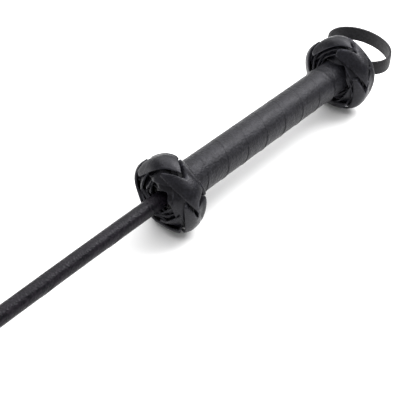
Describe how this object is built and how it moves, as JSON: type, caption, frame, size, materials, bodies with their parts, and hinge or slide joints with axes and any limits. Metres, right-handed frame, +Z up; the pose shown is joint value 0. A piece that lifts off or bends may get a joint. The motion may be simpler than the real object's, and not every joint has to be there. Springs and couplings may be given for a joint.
{
  "type": "riding crop",
  "caption": "Black leather riding crop: sprung tapering shaft, spirally wrapped grip between two plaited knots, wrist loop and folded leather keeper.",
  "frame": {"origin": "under the middle of the whole crop's bounding box, on the surface that it lies on", "axes": "+X along the crop from the keeper towards the butt, +Z up, the crop lying on its two knots and its keeper"},
  "size_m": [0.7048, 0.0624, 0.0553],
  "materials": {
    "fibreglass_rod": "ground glass-fibre rod",
    "cover_leather": "thin grained black leather, satin",
    "grip_wood": "turned, bare",
    "wrap_leather": "black strip, fine grain, satin",
    "waxed_thread": "waxed black thread",
    "knot_foundation": "moulded ring",
    "knot_leather": "smooth black strap, satin, paler cut edges",
    "loop_leather": "smooth black strap, matt inner face",
    "pin_steel": "drawn pin",
    "keeper_leather": "firm black leather, satin, paler cut edges"
  },
  "bodies": {
    "crop": {"shaft_core": "fibreglass_rod", "shaft_cover": "cover_leather", "grip_core": "grip_wood", "grip_wrap": "wrap_leather", "front_wrap_binding": "waxed_thread", "rear_wrap_binding": "waxed_thread", "front_knot_core": "knot_foundation", "front_knot_strap_1": "knot_leather", "front_knot_strap_2": "knot_leather", "front_knot_strap_3": "knot_leather", "front_knot_strap_4": "knot_leather", "front_knot_strap_5": "knot_leather", "rear_knot_core": "knot_foundation", "rear_knot_strap_1": "knot_leather", "rear_knot_strap_2": "knot_leather", "rear_knot_strap_3": "knot_leather", "rear_knot_strap_4": "knot_leather", "rear_knot_strap_5": "knot_leather", "butt_cap": "knot_leather", "wrist_loop_tails": "loop_leather", "loop_pin": "pin_steel", "keeper_upper_tail": "keeper_leather", "keeper_lower_tail": "keeper_leather", "keeper_binding": "waxed_thread"},
    "loop": {"wrist_loop": "loop_leather"},
    "keeper": {"keeper_blade": "keeper_leather"}
  },
  "joints": [
    {"name": "wrist_loop_droop", "type": "hinge", "parent": "crop", "child": "loop", "pos_m": [0.31072, -0.00349, 0.02794], "axis": [0, 1, 0], "range_deg": [-25, 25], "stiffness_Nm_per_rad": 0.03},
    {"name": "keeper_flex", "type": "hinge", "parent": "crop", "child": "keeper", "pos_m": [-0.29846, -0.00349, 0.00185], "axis": [0, 1, 0], "range_deg": [-60, 60], "stiffness_Nm_per_rad": 0.25}
  ]
}
